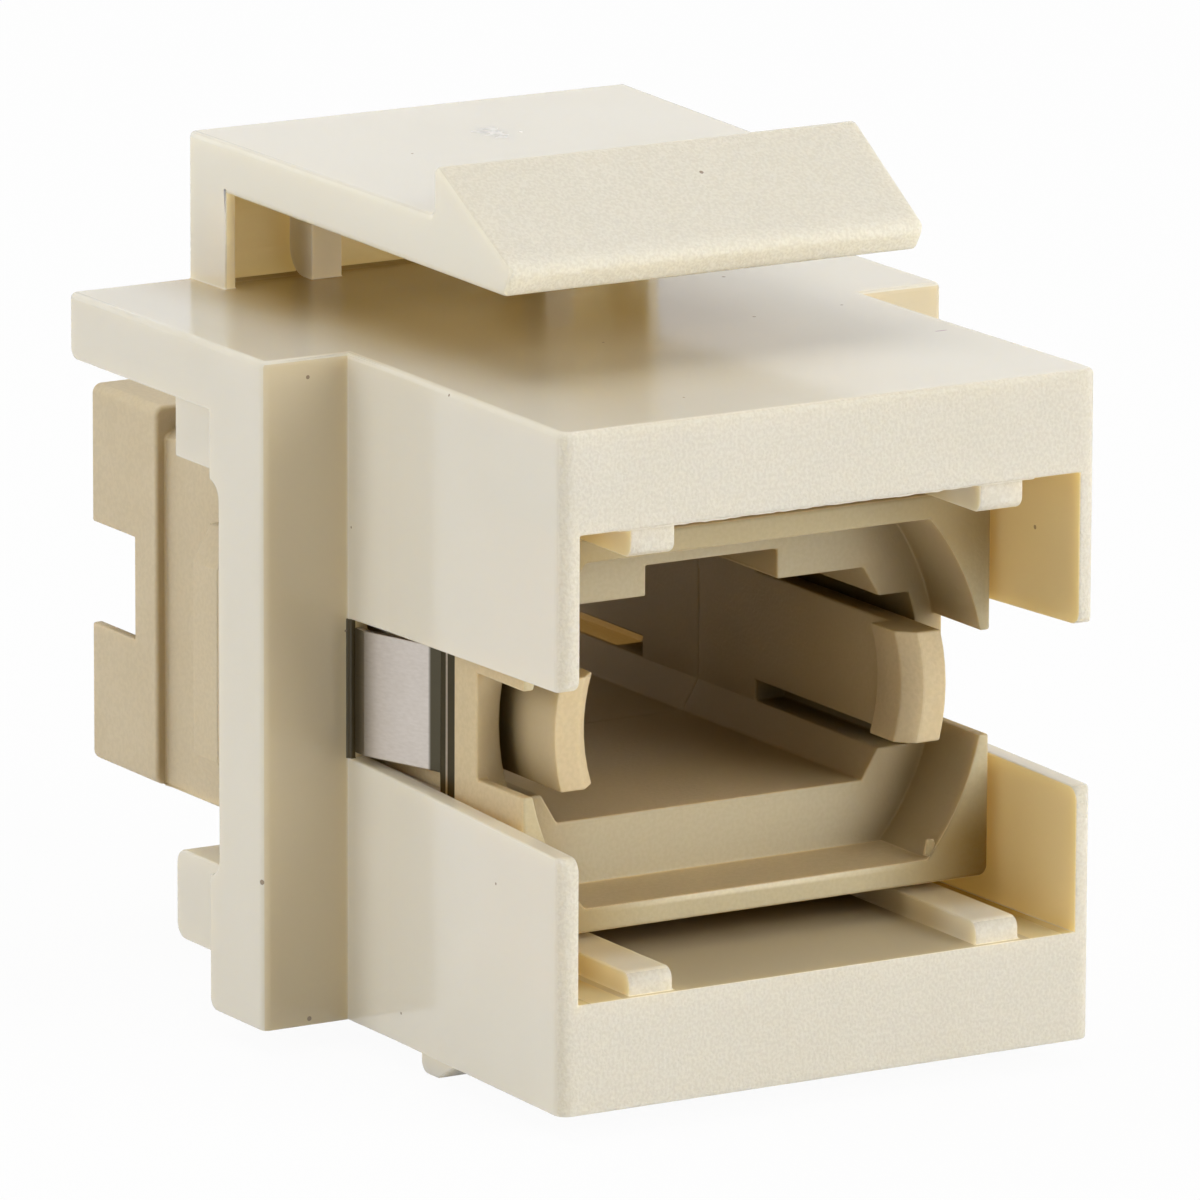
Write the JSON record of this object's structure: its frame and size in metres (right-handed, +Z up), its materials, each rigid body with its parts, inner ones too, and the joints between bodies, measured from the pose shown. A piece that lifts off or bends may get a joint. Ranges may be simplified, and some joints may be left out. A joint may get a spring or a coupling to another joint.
{
  "type": "fibre optic adapter",
  "caption": "Keystone snap-in frame holding a coupler for rectangular multi-fibre plugs, with a flexing latch arm, open side windows and a spring-steel retaining clip.",
  "frame": {"origin": "on the plug axis, in the plane of the flange shoulder that stops against the panel", "axes": "+X right as seen from the front, +Y along the plug axis from the front mouth to the rear, +Z up towards the latch arm"},
  "size_m": [0.0192, 0.0246, 0.0218],
  "materials": {
    "ivory_plastic": "moulded, smooth above and finely grained on the front",
    "tan_plastic": "moulded, matte",
    "spring_steel": "brushed"
  },
  "bodies": {
    "root": {"keystone_frame": "ivory_plastic", "front_adapter_half": "tan_plastic", "rear_adapter_half": "tan_plastic", "retaining_clip": "spring_steel"}
  },
  "joints": []
}
